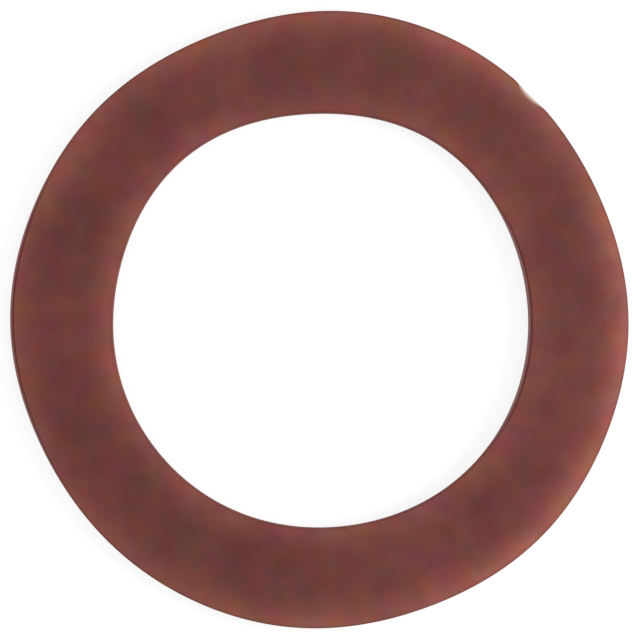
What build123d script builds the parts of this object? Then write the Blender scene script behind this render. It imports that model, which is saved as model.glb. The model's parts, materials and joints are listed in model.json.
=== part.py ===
"""Rubber flange gasket: a flat ring, moulded in one piece, that two pipe flanges squeeze between them.

Millimetres. The origin is on the bore's axis, in the plane of the lower sealing face, with +Z up.
"""

import os

from build123d import *

# The ring
outside_diameter = 132.0  # drops inside the flange's circle of bolts
bore_diameter = 89.0  # opens on to the pipe's own bore
thickness = 5.0  # from sealing face to sealing face, before the bolts are tightened

# Both sealing faces fall away in soft shoulders: a deep one out to the rim, a slight one in to the bore
rim_shoulder_width = 7.0
rim_shoulder_drop = 1.6
rim_corner_radius = 0.8
bore_shoulder_width = 6.0
bore_shoulder_drop = 0.5
bore_bevel = 0.5

# A shallow round nick in the rim
nick_depth = 0.65
nick_radius = 12.0
nick_angle = 47.5  # anticlockwise from +X, seen from above

rim_radius = outside_diameter / 2
bore_radius = bore_diameter / 2
mid_height = thickness / 2

# A narrow or thin ring limits its shoulders, so that a flat and a wall are always left
widest_shoulder = 0.45 * (rim_radius - bore_radius)
deepest_drop = 0.8 * mid_height
rim_shoulder = (min(rim_shoulder_width, widest_shoulder), min(rim_shoulder_drop, deepest_drop))
bore_shoulder = (min(bore_shoulder_width, widest_shoulder), min(bore_shoulder_drop, deepest_drop))
rim_wall_top = mid_height - rim_shoulder[1]
bore_wall_top = mid_height - bore_shoulder[1]

with BuildPart() as gasket_ring:
    # The section is drawn about the ring's middle plane, so that the lower face mirrors the upper one
    section_plane = Plane(origin=(0, 0, mid_height), x_dir=(1, 0, 0), z_dir=(0, -1, 0))
    with BuildSketch(section_plane) as section:
        with BuildLine():
            sealing_face = Line(
                (bore_radius + bore_shoulder[0], mid_height),
                (rim_radius - rim_shoulder[0], mid_height),
            )
            TangentArc(sealing_face @ 1, (rim_radius, rim_wall_top), tangent=(1, 0))
            TangentArc(sealing_face @ 0, (bore_radius, bore_wall_top), tangent=(-1, 0))
            mirror(about=Plane.XZ)
            Line((rim_radius, rim_wall_top), (rim_radius, -rim_wall_top))
            Line((bore_radius, bore_wall_top), (bore_radius, -bore_wall_top))
        make_face()
        fillet(section.vertices().group_by(Axis.X)[-1], min(rim_corner_radius, rim_wall_top))
        chamfer(section.vertices().group_by(Axis.X)[0], bore_bevel)
    revolve(axis=Axis.Z)

    # The nick is cut straight down through the rim
    with BuildSketch(Plane.XY):
        with PolarLocations(rim_radius - nick_depth + nick_radius, 1, start_angle=nick_angle):
            Circle(nick_radius)
    extrude(amount=thickness, mode=Mode.SUBTRACT)

gasket_ring.part.label = "gasket_ring"

os.makedirs("parts", exist_ok=True)
export_step(gasket_ring.part, "parts/gasket_ring.step")
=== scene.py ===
import json
import math

import bpy
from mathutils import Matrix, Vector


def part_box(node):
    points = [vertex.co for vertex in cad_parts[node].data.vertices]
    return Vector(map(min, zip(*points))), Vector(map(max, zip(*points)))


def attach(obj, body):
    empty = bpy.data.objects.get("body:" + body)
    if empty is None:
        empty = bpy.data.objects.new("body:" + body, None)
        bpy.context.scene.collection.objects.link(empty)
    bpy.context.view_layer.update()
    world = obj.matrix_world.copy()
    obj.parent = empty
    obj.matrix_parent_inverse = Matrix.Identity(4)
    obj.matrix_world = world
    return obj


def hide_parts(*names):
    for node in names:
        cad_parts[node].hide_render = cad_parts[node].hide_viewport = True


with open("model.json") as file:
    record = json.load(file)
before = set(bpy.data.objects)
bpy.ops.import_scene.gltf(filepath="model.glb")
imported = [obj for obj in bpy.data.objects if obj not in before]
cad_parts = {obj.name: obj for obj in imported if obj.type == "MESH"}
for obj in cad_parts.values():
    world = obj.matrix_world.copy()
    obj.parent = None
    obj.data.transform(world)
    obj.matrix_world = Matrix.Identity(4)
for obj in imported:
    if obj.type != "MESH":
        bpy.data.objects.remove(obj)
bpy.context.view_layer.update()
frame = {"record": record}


# ---- The gasket ----
# One flat ring of red-brown rubber, moulded in one piece between the halves of a mould that met in a fine
# line round both edges. Its faces roll off in soft shoulders, deeply to the rim and slightly to the bore. It
# has relaxed a little out of round, and its rim has one small torn nick.

low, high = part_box("gasket_ring")
bore = next(mount for mount in frame["record"]["mounts"] if mount["name"] == "bore")

thickness = high.z - low.z
mid_height = thickness / 2
relaxing = 0.00052  # the relaxed rim lies inside its nominal circle, by this much on average
rim_radius = (high.x - low.x) / 2 - relaxing
bore_radius = bore["dims"]["r_mm"] / 1000
half_band = (rim_radius - bore_radius) / 2

rim_shoulder_width = 0.0070
rim_shoulder_drop = 0.0014
rim_corner_width = 0.0006
rim_wall_height = 0.0008
bore_shoulder_width = 0.0060
bore_shoulder_drop = 0.0005
bore_corner_width = 0.0005
bore_wall_height = 0.0030
parting_line_height = 0.00008
parting_line_width = 0.00030

# The section, from the rim over the upper face to the bore. Each point has its place, the way the outline
# runs through it, and how long its handles are before and after. The lower half mirrors the upper one.
upper_half = (
    ((half_band + parting_line_height, 0), (0, 1), 0.00006, 0.00006),
    ((half_band, parting_line_width / 2), (0, 1), 0.00006, 0.00010),
    ((half_band, rim_wall_height / 2), (0, 1), 0.00010, 0.00045),
    ((half_band - rim_corner_width, mid_height - rim_shoulder_drop), (-0.88, 0.47), 0.00040, 0.0016),
    ((half_band - rim_shoulder_width, mid_height), (-1, 0), 0.0031, 0.0028),
    ((-half_band + bore_shoulder_width, mid_height), (-1, 0), 0.0028, 0.0026),
    ((-half_band + bore_corner_width, mid_height - bore_shoulder_drop), (-0.97, -0.24), 0.0018, 0.00030),
    ((-half_band, bore_wall_height / 2), (0, -1), 0.00035, 0.00045),
    ((-half_band, parting_line_width / 2), (0, -1), 0.00045, 0.00006),
    ((-half_band - parting_line_height, 0), (0, -1), 0.00006, 0.00006),
)
lower_half = [
    ((place[0], -place[1]), (-way[0], way[1]), after, before)
    for place, way, before, after in reversed(upper_half[1:-1])
]

section = bpy.data.curves.new("ring_section", "CURVE")
section.dimensions = "2D"
section.resolution_u = 6
outline = section.splines.new("BEZIER")
outline.bezier_points.add(len(upper_half) + len(lower_half) - 1)
for point, (place, way, before, after) in zip(outline.bezier_points, [*upper_half, *lower_half]):
    point.handle_left_type = point.handle_right_type = "FREE"
    point.co = (*place, 0)
    point.handle_left = (place[0] - way[0] * before, place[1] - way[1] * before, 0)
    point.handle_right = (place[0] + way[0] * after, place[1] + way[1] * after, 0)
outline.use_cyclic_u = True


def working(tree, operation, *values, clamp=False):
    """A Math node: each value is a number or another node's output, and the result is its own output."""
    node = tree.nodes.new("ShaderNodeMath")
    node.operation = operation
    node.use_clamp = clamp
    for socket, value in zip(node.inputs, values):
        if isinstance(value, (int, float)):
            socket.default_value = value
        else:
            tree.links.new(value, socket)
    return node.outputs["Value"]


def ramped(tree, value, start, end, smooth=False):
    """A Map Range node that takes the value from 0 at start to 1 at end and stops there."""
    node = tree.nodes.new("ShaderNodeMapRange")
    node.interpolation_type = "SMOOTHSTEP" if smooth else "LINEAR"
    tree.links.new(value, node.inputs["Value"])
    for name, bound in (("From Min", start), ("From Max", end)):
        if isinstance(bound, (int, float)):
            node.inputs[name].default_value = bound
        else:
            tree.links.new(bound, node.inputs[name])
    return node.outputs["Result"]


def noise(tree, place, size, detail=1.0, distortion=0.0):
    """A Noise Texture node whose patches are about this size, in metres."""
    node = tree.nodes.new("ShaderNodeTexNoise")
    node.inputs["Scale"].default_value = 1 / size
    node.inputs["Detail"].default_value = detail
    node.inputs["Distortion"].default_value = distortion
    tree.links.new(place, node.inputs["Vector"])
    return node


# The rubber has relaxed into a few low lobes: how many, how high, and the direction of one of them
rim_lobes = ((1, 0.00013, 0), (3, 0.00025, -55), (4, 0.00034, -18), (6, 0.00012, 10), (8, 0.00012, 0))
bore_lobes = ((1, 0.00018, 10), (4, 0.00032, -43), (5, 0.00016, -18), (6, 0.00008, 5))

# The nick is a chip torn out of the rim's upper corner, with one steep side and one gentle side. Its outline
# bends by so much per metre, leans inwards as it rises, blends softly into the rim and is a little ragged.
nick_angle = math.radians(47.1)
nick_depth = 0.00044
nick_slant = 0.44
steep_bend = 54.0
gentle_bend = 38.0
nick_softness = 0.00080
tear_size = 0.0009
tear_depth = 0.00012

lobe = bpy.data.node_groups.new("lobes_round_the_ring", "GeometryNodeTree")
for name in ("Direction", "Lobes", "Height", "Peak"):
    lobe.interface.new_socket(name, in_out="INPUT", socket_type="NodeSocketFloat")
lobe.interface.new_socket("Offset", in_out="OUTPUT", socket_type="NodeSocketFloat")
lobe_in = lobe.nodes.new("NodeGroupInput").outputs
turned = working(lobe, "SUBTRACT", lobe_in["Direction"], lobe_in["Peak"])
swing = working(lobe, "COSINE", working(lobe, "MULTIPLY", turned, lobe_in["Lobes"]))
offset = working(lobe, "MULTIPLY", swing, lobe_in["Height"])
lobe.links.new(offset, lobe.nodes.new("NodeGroupOutput").inputs["Offset"])

moulding = bpy.data.node_groups.new("ring_from_its_section", "GeometryNodeTree")
moulding.interface.new_socket("Section", in_out="INPUT", socket_type="NodeSocketGeometry")
sockets = {
    name: moulding.interface.new_socket(name, in_out="INPUT", socket_type=kind)
    for name, kind in (
        ("Rubber", "NodeSocketMaterial"),
        ("Steps Round", "NodeSocketInt"),
        ("Rim Radius", "NodeSocketFloat"),
        ("Bore Radius", "NodeSocketFloat"),
        ("Nick Direction", "NodeSocketFloat"),
        ("Nick Depth", "NodeSocketFloat"),
        ("Waviness", "NodeSocketFloat"),
    )
}
moulding.interface.new_socket("Ring", in_out="OUTPUT", socket_type="NodeSocketGeometry")
link = moulding.links.new
ring_in = moulding.nodes.new("NodeGroupInput").outputs


def out_of_round(direction, lobes):
    """The sum of one edge's lobes in a direction."""
    total = 0.0
    for count, height, peak in lobes:
        group = moulding.nodes.new("GeometryNodeGroup")
        group.node_tree = lobe
        link(direction, group.inputs["Direction"])
        group.inputs["Lobes"].default_value = count
        group.inputs["Height"].default_value = height
        group.inputs["Peak"].default_value = math.radians(peak)
        total = working(moulding, "ADD", group.outputs["Offset"], total)
    return total


def kept(geometry, name, value):
    """A Store Named Attribute node, for the rubber's material to read."""
    node = moulding.nodes.new("GeometryNodeStoreNamedAttribute")
    node.inputs["Name"].default_value = name
    link(geometry, node.inputs["Geometry"])
    link(value, node.inputs["Value"])
    return node.outputs["Geometry"]


# The section runs round a circle in the middle of the band
band = working(moulding, "ADD", ring_in["Rim Radius"], ring_in["Bore Radius"])
band = working(moulding, "MULTIPLY", band, 0.5)
circle = moulding.nodes.new("GeometryNodeCurvePrimitiveCircle")
link(ring_in["Steps Round"], circle.inputs["Resolution"])
link(band, circle.inputs["Radius"])
sweep = moulding.nodes.new("GeometryNodeCurveToMesh")
link(circle.outputs["Curve"], sweep.inputs["Curve"])
link(ring_in["Section"], sweep.inputs["Profile Curve"])

# Each point as a direction, a radius and a share of the way across the band; steps crowd in at the nick
swept_place = moulding.nodes.new("ShaderNodeSeparateXYZ")
link(moulding.nodes.new("GeometryNodeInputPosition").outputs["Position"], swept_place.inputs["Vector"])
x, y, z = (swept_place.outputs[axis] for axis in "XYZ")
from_nick = working(moulding, "SUBTRACT", working(moulding, "ARCTAN2", y, x), ring_in["Nick Direction"])
from_nick = working(moulding, "WRAP", from_nick, math.pi, -math.pi)
crowding = working(moulding, "MULTIPLY", working(moulding, "SINE", from_nick), 0.6)
from_nick = working(moulding, "SUBTRACT", from_nick, crowding)
direction = working(moulding, "ADD", from_nick, ring_in["Nick Direction"])
squares = working(moulding, "ADD", working(moulding, "POWER", x, 2.0), working(moulding, "POWER", y, 2.0))
radius = working(moulding, "SQRT", squares)
across = ramped(moulding, radius, ring_in["Bore Radius"], ring_in["Rim Radius"])

# The lobes move the rim and the bore, and what lies between goes with them in proportion
rim_offset = out_of_round(direction, rim_lobes)
bore_offset = out_of_round(direction, bore_lobes)
widening = working(moulding, "SUBTRACT", rim_offset, bore_offset)
offset = working(moulding, "MULTIPLY_ADD", widening, across, bore_offset)
relaxed_radius = working(moulding, "ADD", radius, offset)


def round_place(radius, height):
    """A place from a radius and a height in the point's direction."""
    place = moulding.nodes.new("ShaderNodeCombineXYZ")
    link(working(moulding, "MULTIPLY", radius, working(moulding, "COSINE", direction)), place.inputs["X"])
    link(working(moulding, "MULTIPLY", radius, working(moulding, "SINE", direction)), place.inputs["Y"])
    link(height, place.inputs["Z"])
    return place.outputs["Vector"]


# No point is further out than the nick's rough, lopsided curve, which cuts deeper above than below
along_rim = working(moulding, "MULTIPLY", from_nick, ring_in["Rim Radius"])
steep_side = working(moulding, "GREATER_THAN", along_rim, 0.0)
bend = working(moulding, "MULTIPLY_ADD", steep_side, steep_bend - gentle_bend, gentle_bend)
nick_radius = working(moulding, "MULTIPLY_ADD", working(moulding, "POWER", along_rim, 2.0), bend, rim_offset)
nick_bottom = working(moulding, "SUBTRACT", ring_in["Rim Radius"], ring_in["Nick Depth"])
nick_radius = working(moulding, "ADD", nick_radius, nick_bottom)
nick_radius = working(moulding, "MULTIPLY_ADD", z, -nick_slant, nick_radius)
tear = noise(moulding, round_place(relaxed_radius, z), tear_size, detail=2.0)
ragged = working(moulding, "SUBTRACT", tear.outputs["Fac"], 0.5)
nick_radius = working(moulding, "MULTIPLY_ADD", ragged, tear_depth, nick_radius)
torn_radius = working(moulding, "SMOOTH_MIN", relaxed_radius, nick_radius, nick_softness)
torn_away = working(moulding, "SUBTRACT", relaxed_radius, nick_radius)
fresh = ramped(moulding, torn_away, -0.00002, 0.00042, smooth=True)

# The faces are very slightly wavy, always inwards, so that the ring stays within its thickness
slow_wave = noise(moulding, round_place(relaxed_radius, z), 0.022, detail=0.0)
quick_wave = noise(moulding, round_place(relaxed_radius, z), 0.005, detail=1.0)
wave = working(moulding, "MULTIPLY_ADD", quick_wave.outputs["Fac"], 0.25, slow_wave.outputs["Fac"])
flatten = working(moulding, "SUBTRACT", 1.0, working(moulding, "MULTIPLY", wave, ring_in["Waviness"]))
height = working(moulding, "MULTIPLY_ADD", z, flatten, mid_height)

geometry = kept(sweep.outputs["Mesh"], "across", across)
geometry = kept(geometry, "fresh_rubber", fresh)
moved = moulding.nodes.new("GeometryNodeSetPosition")
link(geometry, moved.inputs["Geometry"])
link(round_place(torn_radius, height), moved.inputs["Position"])
smooth = moulding.nodes.new("GeometryNodeSetShadeSmooth")
link(moved.outputs["Geometry"], smooth.inputs["Geometry"])
realized = moulding.nodes.new("GeometryNodeRealizeInstances")
link(smooth.outputs["Geometry"], realized.inputs["Geometry"])
coloured = moulding.nodes.new("GeometryNodeSetMaterial")
link(realized.outputs["Geometry"], coloured.inputs["Geometry"])
link(ring_in["Rubber"], coloured.inputs["Material"])
link(coloured.outputs["Geometry"], moulding.nodes.new("NodeGroupOutput").inputs["Ring"])

# The rubber: a matte red-brown, mottled in maroon, olive brown and purple brown as its fillers were milled
# in, and sandy where it is torn; painted light lightens its shoulders and painted shade lines its steep
# edges.
rubber_colour = (0.143, 0.037, 0.031)
# painted light: how much the shoulders are lightened, standing in for the light their slopes catch
rim_painted_light = (1.86, 2.10, 1.90)
bore_painted_light = (1.54, 1.66, 1.57)
# painted shade: the colour of the dark line along the steep edges
painted_shade_colour = (0.050, 0.010, 0.011)
scuff_colour = (0.34, 0.19, 0.20)
torn_colour = (0.40, 0.21, 0.16)
fresh_colour = (0.74, 0.57, 0.49)
mottle_strength = (0.50, 0.80, 1.04)
cloud_strength = 0.70
grain_strength = 0.14

rubber = bpy.data.materials.new("red_brown_rubber")
rubber.use_nodes = True
tree = rubber.node_tree
surface = tree.nodes["Principled BSDF"]
place = tree.nodes.new("ShaderNodeTexCoord").outputs["Object"]


def attribute(name):
    """The output of an attribute that the ring's tree left on its points."""
    node = tree.nodes.new("ShaderNodeAttribute")
    node.attribute_name = name
    return node.outputs["Fac"]


def mixed(kind, factor, first, second):
    """A colour Mix node: each colour is three numbers or another node's output."""
    node = tree.nodes.new("ShaderNodeMix")
    node.data_type = "RGBA"
    node.blend_type = kind
    for socket, value in ((node.inputs[0], factor), (node.inputs[6], first), (node.inputs[7], second)):
        if isinstance(value, tuple):
            socket.default_value = (*value, 1.0)
        elif isinstance(value, (int, float)):
            socket.default_value = value
        else:
            tree.links.new(value, socket)
    return node.outputs[2]


# Mottling: one noise whose three channels drift apart, so that patches turn redder, browner or more purple
patches = noise(tree, place, 0.0052, detail=1.6, distortion=0.3)
clouds = noise(tree, place, 0.0200, detail=2.5)
spread = tree.nodes.new("ShaderNodeVectorMath")
spread.operation = "MULTIPLY_ADD"
tree.links.new(patches.outputs["Color"], spread.inputs[0])
spread.inputs[1].default_value = mottle_strength
spread.inputs[2].default_value = tuple(1 - strength / 2 for strength in mottle_strength)
colour = mixed("MULTIPLY", 1.0, rubber_colour, spread.outputs["Vector"])
cloudy = working(tree, "MULTIPLY_ADD", clouds.outputs["Fac"], cloud_strength, 1 - cloud_strength / 2)
colour = mixed("MULTIPLY", 1.0, colour, cloudy)

# Painted light: the shoulders are lightened as if their slopes caught the light, faster and faster
# towards the rim, less so towards the bore, and a little patchy
across_band = attribute("across")
patchy = working(tree, "MULTIPLY_ADD", clouds.outputs["Fac"], 0.6, 0.7)
rim_light_share = working(tree, "POWER", ramped(tree, across_band, 0.55, 0.95), 2.3)
rim_light_share = working(tree, "MULTIPLY", rim_light_share, patchy)
bore_light_share = working(tree, "POWER", ramped(tree, across_band, 0.36, 0.04), 1.7)
bore_light_share = working(tree, "MULTIPLY", bore_light_share, patchy)
colour = mixed("MULTIPLY", rim_light_share, colour, rim_painted_light)
colour = mixed("MULTIPLY", bore_light_share, colour, bore_painted_light)

# Painted shade: a fine dark line where each shoulder turns over, darker on the sides that face -X, away
# from the lamp; beyond the line the edge is scuffed pale
where = tree.nodes.new("ShaderNodeSeparateXYZ")
tree.links.new(place, where.inputs["Vector"])


def line_across(centre, half_width):
    """1 along a line at this share of the way across the band, falling to 0 at the half width."""
    distance = working(tree, "ABSOLUTE", working(tree, "SUBTRACT", across_band, centre))
    return ramped(tree, distance, half_width, 0.0, smooth=True)


rim_faces_left = ramped(tree, where.outputs["X"], -0.052, -0.064, smooth=True)
bore_faces_left = ramped(tree, where.outputs["X"], 0.035, 0.043, smooth=True)
rim_shade_line = line_across(working(tree, "MULTIPLY_ADD", rim_faces_left, -0.022, 0.992), 0.016)
bore_shade_line = line_across(working(tree, "MULTIPLY_ADD", bore_faces_left, 0.018, 0.010), 0.016)
rim_painted_shade = working(tree, "MULTIPLY", rim_shade_line, working(tree, "MULTIPLY_ADD", rim_faces_left, 0.50, 0.30))
bore_painted_shade = working(tree, "MULTIPLY", bore_shade_line, working(tree, "MULTIPLY_ADD", bore_faces_left, 0.60, 0.22))
colour = mixed("MIX", working(tree, "MAXIMUM", rim_painted_shade, bore_painted_shade), colour, painted_shade_colour)
rim_scuff = working(tree, "MULTIPLY", ramped(tree, across_band, 0.976, 0.994), rim_faces_left)
bore_scuff = working(tree, "MULTIPLY", ramped(tree, across_band, 0.022, 0.006), bore_faces_left)
scuff = working(tree, "MULTIPLY", working(tree, "MAXIMUM", rim_scuff, bore_scuff), 0.60)
colour = mixed("MIX", scuff, colour, scuff_colour)

# The torn rubber is sandy, palest low down where the tear runs out, and a little crumbly
crumbs = noise(tree, place, 0.0007, detail=3.0)
torn_shade = mixed("MIX", ramped(tree, where.outputs["Z"], 0.0037, 0.0021), torn_colour, fresh_colour)
crumbly = working(tree, "MULTIPLY_ADD", crumbs.outputs["Fac"], 0.5, 0.68, clamp=True)
colour = mixed("MIX", working(tree, "MULTIPLY", attribute("fresh_rubber"), crumbly), colour, torn_shade)

# Skin: a fine grain in the colour, the gloss and the relief
grain = noise(tree, place, 0.00035, detail=3.0)
grained = working(tree, "MULTIPLY_ADD", grain.outputs["Fac"], grain_strength, 1 - grain_strength / 2)
colour = mixed("MULTIPLY", 1.0, colour, grained)
tree.links.new(colour, surface.inputs["Base Color"])
matte = working(tree, "MULTIPLY_ADD", clouds.outputs["Fac"], 0.16, 0.56)
matte = working(tree, "MULTIPLY_ADD", grain.outputs["Fac"], 0.10, matte)
tree.links.new(matte, surface.inputs["Roughness"])
surface.inputs["Specular IOR Level"].default_value = 0.22
relief = tree.nodes.new("ShaderNodeBump")
relief.inputs["Strength"].default_value = 0.55
relief.inputs["Distance"].default_value = 0.00004
skin = working(tree, "MULTIPLY_ADD", crumbs.outputs["Fac"], 0.7, grain.outputs["Fac"])
tree.links.new(skin, relief.inputs["Height"])
tree.links.new(relief.outputs["Normal"], surface.inputs["Normal"])

# The tree moulds the section into the ring, and the result is kept as a plain mesh
cavity = bpy.data.objects.new("mould_cavity", section)
bpy.context.collection.objects.link(cavity)
modifier = cavity.modifiers.new("moulding", "NODES")
modifier.node_group = moulding
for name, value in (
    ("Rubber", rubber),
    ("Steps Round", 880),
    ("Rim Radius", rim_radius),
    ("Bore Radius", bore_radius),
    ("Nick Direction", nick_angle),
    ("Nick Depth", nick_depth),
    ("Waviness", 0.030),
):
    modifier[sockets[name].identifier] = value
evaluated = bpy.context.evaluated_depsgraph_get()
mesh = bpy.data.meshes.new_from_object(cavity.evaluated_get(evaluated), depsgraph=evaluated)
mesh.name = "rubber_ring"
ring = bpy.data.objects.new("rubber_ring", mesh)
bpy.context.collection.objects.link(ring)
cavity.modifiers.remove(modifier)
bpy.data.objects.remove(cavity)

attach(ring, "root")
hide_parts("gasket_ring")


# ---- The floor ----
# A plain pale board, wide enough to run out of every view. It shows as white, and keeps a soft trace of
# the ring's shadow.

floor_mesh = bpy.data.meshes.new("pale_board")
floor_mesh.from_pydata(
    [(x, y, -0.00005) for x, y in ((-2.5, -2.5), (2.5, -2.5), (2.5, 2.5), (-2.5, 2.5))], [], [(0, 1, 2, 3)]
)
floor = bpy.data.objects.new("pale_board", floor_mesh)
bpy.context.collection.objects.link(floor)
board = bpy.data.materials.new("pale_board")
board.use_nodes = True
board.node_tree.nodes.clear()
lit_board = board.node_tree.nodes.new("ShaderNodeBsdfDiffuse")
lit_board.inputs["Color"].default_value = (0.80, 0.80, 0.80, 1)
shadow_trace = board.node_tree.nodes.new("ShaderNodeBsdfDiffuse")
shadow_trace.inputs["Color"].default_value = (0.30, 0.30, 0.30, 1)
white = board.node_tree.nodes.new("ShaderNodeEmission")
white.inputs["Strength"].default_value = 0.79
seen_board = board.node_tree.nodes.new("ShaderNodeAddShader")
board.node_tree.links.new(shadow_trace.outputs["BSDF"], seen_board.inputs[0])
board.node_tree.links.new(white.outputs["Emission"], seen_board.inputs[1])


def seen_directly(tree):
    """1 for rays from the camera and for those that gloss or glass sends on, otherwise 0."""
    path = tree.nodes.new("ShaderNodeLightPath").outputs
    either = working(tree, "MAXIMUM", path["Is Camera Ray"], path["Is Glossy Ray"])
    return working(tree, "MAXIMUM", either, path["Is Transmission Ray"])


board_mix = board.node_tree.nodes.new("ShaderNodeMixShader")
board_out = board.node_tree.nodes.new("ShaderNodeOutputMaterial")
board.node_tree.links.new(seen_directly(board.node_tree), board_mix.inputs[0])
board.node_tree.links.new(lit_board.outputs["BSDF"], board_mix.inputs[1])
board.node_tree.links.new(seen_board.outputs["Shader"], board_mix.inputs[2])
board.node_tree.links.new(board_mix.outputs["Shader"], board_out.inputs["Surface"])
floor_mesh.materials.append(board)


# ---- The light ----
# A bright pale room all round lights the ring evenly. One large soft lamp stands off its right side, low
# enough to catch the shoulder there.

room = bpy.data.worlds.new("pale_room")
room.use_nodes = True
room.node_tree.nodes.clear()
room_light = room.node_tree.nodes.new("ShaderNodeBackground")
room_light.inputs["Color"].default_value = (1, 1, 1, 1)
room_light.inputs["Strength"].default_value = 0.70
room_seen = room.node_tree.nodes.new("ShaderNodeBackground")
room_seen.inputs["Color"].default_value = (1, 1, 1, 1)
room_seen.inputs["Strength"].default_value = 1.0
room_mix = room.node_tree.nodes.new("ShaderNodeMixShader")
room_out = room.node_tree.nodes.new("ShaderNodeOutputWorld")
room.node_tree.links.new(seen_directly(room.node_tree), room_mix.inputs[0])
room.node_tree.links.new(room_light.outputs["Background"], room_mix.inputs[1])
room.node_tree.links.new(room_seen.outputs["Background"], room_mix.inputs[2])
room.node_tree.links.new(room_mix.outputs["Shader"], room_out.inputs["Surface"])
bpy.context.scene.world = room

lamp_distance = 0.62
lamp_bearing = math.radians(-2)
lamp_elevation = math.radians(31)
lamp_light = bpy.data.lights.new("soft_lamp", "AREA")
lamp_light.shape = "DISK"
lamp_light.size = 0.36
lamp_light.energy = 2.0
lamp = bpy.data.objects.new("soft_lamp", lamp_light)
bpy.context.collection.objects.link(lamp)
lamp.location = (
    lamp_distance * math.cos(lamp_elevation) * math.cos(lamp_bearing),
    lamp_distance * math.cos(lamp_elevation) * math.sin(lamp_bearing),
    lamp_distance * math.sin(lamp_elevation),
)
lamp.rotation_euler = (-lamp.location).to_track_quat("-Z", "Y").to_euler()
lamp.visible_camera = False


# ---- The camera ----
# It hangs high over the ring and looks straight down on its upper face, through a long lens, with the ring
# filling the picture.

picture_width = 0.13626
camera_data = bpy.data.cameras.new("camera")
camera_data.lens = 180
camera_data.sensor_width = 36
camera = bpy.data.objects.new("camera", camera_data)
bpy.context.collection.objects.link(camera)
camera.location = (0.00003, 0, mid_height + picture_width * camera_data.lens / camera_data.sensor_width)
bpy.context.scene.camera = camera

bpy.context.scene.view_settings.view_transform = "Standard"
